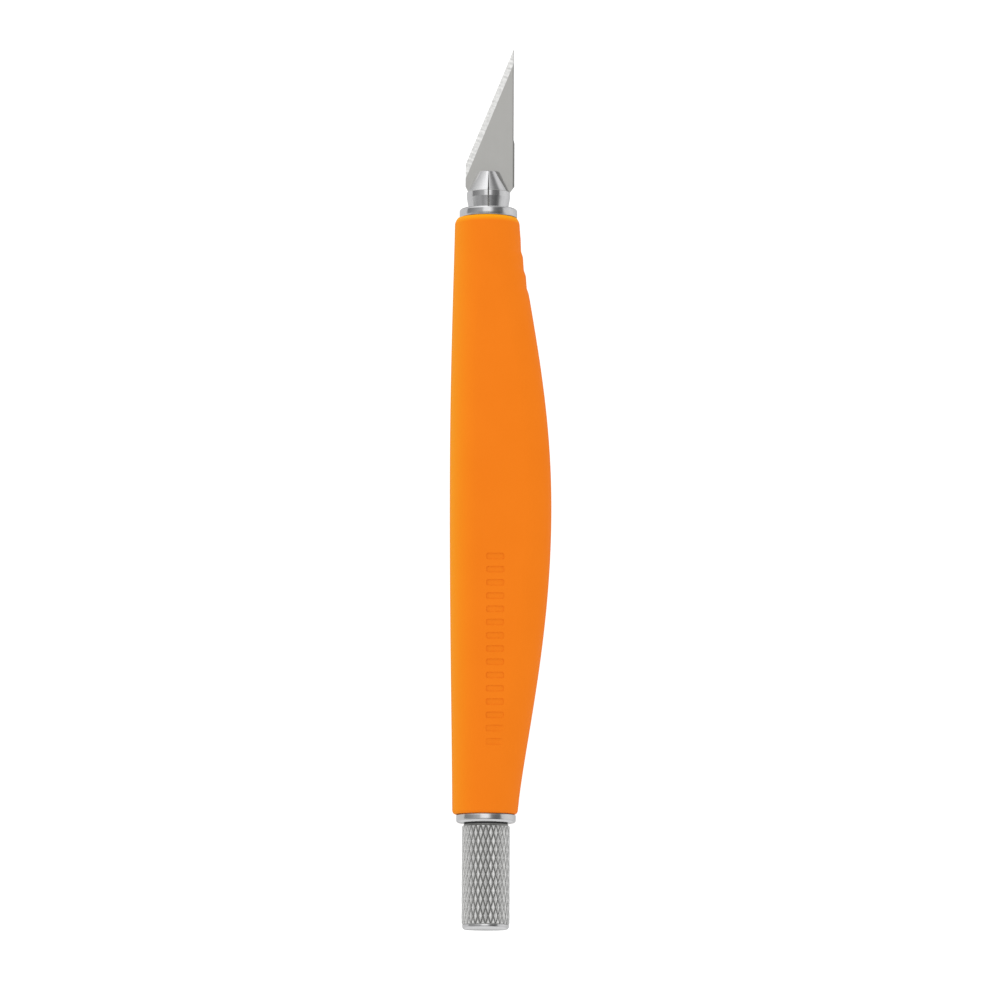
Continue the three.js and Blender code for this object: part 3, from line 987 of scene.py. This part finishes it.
apply_modifier(grip, "SUBSURF", levels=1)
apply_modifier(grip, "SOLIDIFY", thickness=skin_thickness, offset=-1)
grip.vertex_groups.clear()
bpy.ops.object.shade_smooth_by_angle(angle=skin_crisp_over)
wear(grip, soft_orange)
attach(grip, "barrel")
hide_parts("grip_skin")
print(f"skin: {len(grip.data.polygons)} faces")

# %% [markdown]
# **Moulded bars.** The broad face carries a row of short, shallow bars, moulded into the skin, for the
# fingertips. One bar is made as a box with rounded edges, and its copies are set down one by one on the face: a
# ray dropped from above finds the height and the slope under each. All of them are then cut out of the skin at
# once.

# %% A row of moulded bars
bar_size = Vector((3.2, 1.15, 0.5)) * mm
bar_deep = 0.16 * mm
bar_count = 15
bars_rear_y, bars_front_y = butt_y + 33 * mm, butt_y + 66 * mm
bars_x = axis_x + 1.5 * mm

bpy.ops.object.select_all(action="DESELECT")
bpy.ops.mesh.primitive_cube_add(size=1, scale=bar_size)
first_bar = open_part("grip_bars")
soften(0.35 * mm, 4, lambda edge: abs(span(edge).z) > bar_size.z / 2)
soften(0.12 * mm, 3, lambda edge: both_ends(edge, lambda co: co.z < speck - bar_size.z / 2))
close_part(first_bar)
bars = []
for i in range(bar_count):
    y = bars_rear_y + (bars_front_y - bars_rear_y) * i / (bar_count - 1)
    place, normal = grip.ray_cast((bars_x, y, 1), (0, 0, -1))[1:3]
    only(first_bar)
    bpy.ops.object.duplicate()
    bar = bpy.context.object
    lean = Vector((0, 0, 1)).rotation_difference(normal).to_matrix().to_4x4()
    bar.matrix_world = Matrix.Translation(place + normal * (bar_size.z / 2 - bar_deep)) @ lean
    bars.append(bar)
bpy.data.objects.remove(first_bar)
only(bars[0])
for bar in bars:
    bar.select_set(True)
bpy.ops.object.join()
cutters = bpy.context.object
bpy.ops.object.transform_apply(location=True, rotation=True, scale=True)
only(grip)
apply_modifier(grip, "BOOLEAN", operation="DIFFERENCE", solver="EXACT", object=cutters)
bpy.data.objects.remove(cutters)
bpy.ops.object.shade_smooth_by_angle(angle=skin_crisp_over)
print(f"{bar_count} bars cut; skin: {len(grip.data.polygons)} faces")

# %% [markdown]
# ## Inside pieces
#
# The tube, core, pin, bush, rod, clip, washer and the collet's body keep their shapes from the model, because
# they are plain and hidden. They only get their finishes.

# %% Finish the pieces that stay
kept = {
    "barrel_tube": tube_aluminium,
    "grip_core": core_plastic,
    "key_pin": drawn_steel,
    "rod_guide": white_nylon,
    "draw_rod": drawn_steel,
    "retaining_clip": spring_steel,
    "thrust_washer": black_nylon,
    "collet_body": bright_aluminium,
}
for node, finish in kept.items():
    wear(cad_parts[node], finish)
print("kept:", ", ".join(kept))

# %% [markdown]
# ## Stage
#
# The knife lies on a plain white table in an even, pale studio. Polished metal shows its surroundings more than
# itself, so the studio is dressed the way it is for silverware: a long strip light overhead and long dark flags
# on both sides, all parallel to the knife. What slopes forward or backward sees other cards. All of them are
# painted into the world as bands round the knife's axis and only show in reflections, so the table and the soft
# grip stay evenly lit.

# %% Lit white table
table_size = 6
table_gap = 0.02 * mm
bpy.ops.object.select_all(action="DESELECT")
bpy.ops.mesh.primitive_plane_add(size=table_size, location=(0, 0, -table_gap))
table = bpy.context.object
table.name = "table"
glass = Finish("lit white glass", roughness=0.9, specular_ior_level=0.0, emission_strength=0.95)
cloud = glass.grain(40, detail=2)
glass.set(
    base_color=glass.mix(cloud, (0.20, 0.20, 0.20), (0.24, 0.24, 0.24)),
    emission_color=glass.mix(cloud, (0.98, 0.98, 0.98), (1.0, 1.0, 1.0)),
)
wear(table, glass)
table.visible_glossy = False

# %% Even light, with a strip and flags for the metal
studio = bpy.data.worlds.new("studio")
bpy.context.scene.world = studio
studio.use_nodes = True
sky = Nodes(studio.node_tree)
background = studio.node_tree.nodes["Background"]
direction = sky.add("ShaderNodeTexCoord", output="Generated")
across, ahead, up = sky.split(direction)
turn_share = sky.math("ARCTAN2", across, up) / (2 * math.pi) + 0.5
bands = [  # degrees from overhead, to the right, and how bright the studio is there
    (-180, 0.50),
    (-157, 0.60),
    (-97, 0.58),
    (-90, 0.20),
    (-60, 0.27),
    (-25, 0.44),
    (-17, 0.85),
    (7, 0.92),
    (23, 0.20),
    (40, 0.12),
    (57, 0.15),
    (66, 0.58),
    (100, 0.70),
    (126, 0.62),
    (180, 0.45),
]
front_bands = [  # the same for what slopes forward: a white card on the left, a dark one on the right
    (-180, 0.15),
    (-146, 0.40),
    (-105, 0.60),
    (-73, 0.78),
    (-37, 1.05),
    (-6, 1.05),
    (10, 0.62),
    (37, 0.34),
    (55, 0.20),
    (76, 0.22),
    (90, 0.62),
    (108, 0.68),
    (146, 0.42),
    (165, 0.16),
]
rear_bands = [  # and for what slopes backward: grey cards, and one dark flag on the right
    (-180, 0.50),
    (-140, 0.62),
    (-94, 0.60),
    (-68, 0.34),
    (-43, 0.34),
    (-32, 0.27),
    (-10, 0.37),
    (4, 0.30),
    (21, 0.15),
    (43, 0.09),
    (55, 0.15),
    (67, 0.42),
    (80, 0.62),
    (180, 0.56),
]
side_mirror, front_mirror, rear_mirror = (
    sky.add(
        "ShaderNodeValToRGB",
        {"stops": [((degrees + 180) / 360, level) for degrees, level in levels]},
        {0: turn_share},
    )
    for levels in (bands, front_bands, rear_bands)
)
facing_front = sky.share(ahead, 0.35, 0.55)
facing_rear = sky.share(ahead, 0.0, -0.08)
far_rear = sky.share(ahead, -0.30, -0.45)
rear_card = 0.72
rear_mirror = rear_mirror * (1 - far_rear) + far_rear * rear_card
facing_side = 1 - facing_front - facing_rear
mirror = front_mirror * facing_front + rear_mirror * facing_rear + side_mirror * facing_side
glossy = sky.add("ShaderNodeLightPath", output="Is Glossy Ray")
even_level = 1.22
seen = glossy * mirror + (1 - glossy) * even_level
sky.feed(background.inputs["Color"], (1, 1, 1, 1))
sky.feed(background.inputs["Strength"], seen)
bpy.context.scene.view_settings.view_transform = "Standard"
print(f"{len(bands)} bands round the axis")

# %% Soft key light from the plain side
key_place = Vector((-0.42, 0.50, 0.30))
bpy.ops.object.light_add(type="AREA", location=key_place)
key = bpy.context.object
key.name = "key_softbox"
key.data.shape, key.data.size, key.data.size_y = "RECTANGLE", 0.4, 0.7
key.data.energy = 0.7
key.data.color = (1.0, 0.96, 0.84)
key.visible_glossy = False
key.rotation_euler = key_place.to_track_quat("Z", "Y").to_euler()

# %% [markdown]
# The camera is a long lens almost straight above, tipped a few degrees towards the butt, so that the knob's end
# and the front edges of the collars just show. Its lens follows from the width of the field it should see.

# %% Camera
camera_distance = 1.04
camera_elevation = math.radians(83.2)
field_width = 178.92 * mm
aim = Vector((0.363 * mm, -2.625 * mm, axis_z))
camera_roll = math.radians(0.2153)
towards_camera = Vector((0, -math.cos(camera_elevation), math.sin(camera_elevation)))

bpy.ops.object.camera_add(
    location=aim + camera_distance * towards_camera,
    rotation=(math.pi / 2 - camera_elevation, 0, camera_roll),
)
camera = bpy.context.object
camera.name = "camera"
camera.data.lens = camera.data.sensor_width * camera_distance / field_width
camera.data.clip_end = 20
bpy.context.scene.camera = camera
print(f"lens {camera.data.lens:.0f} mm")
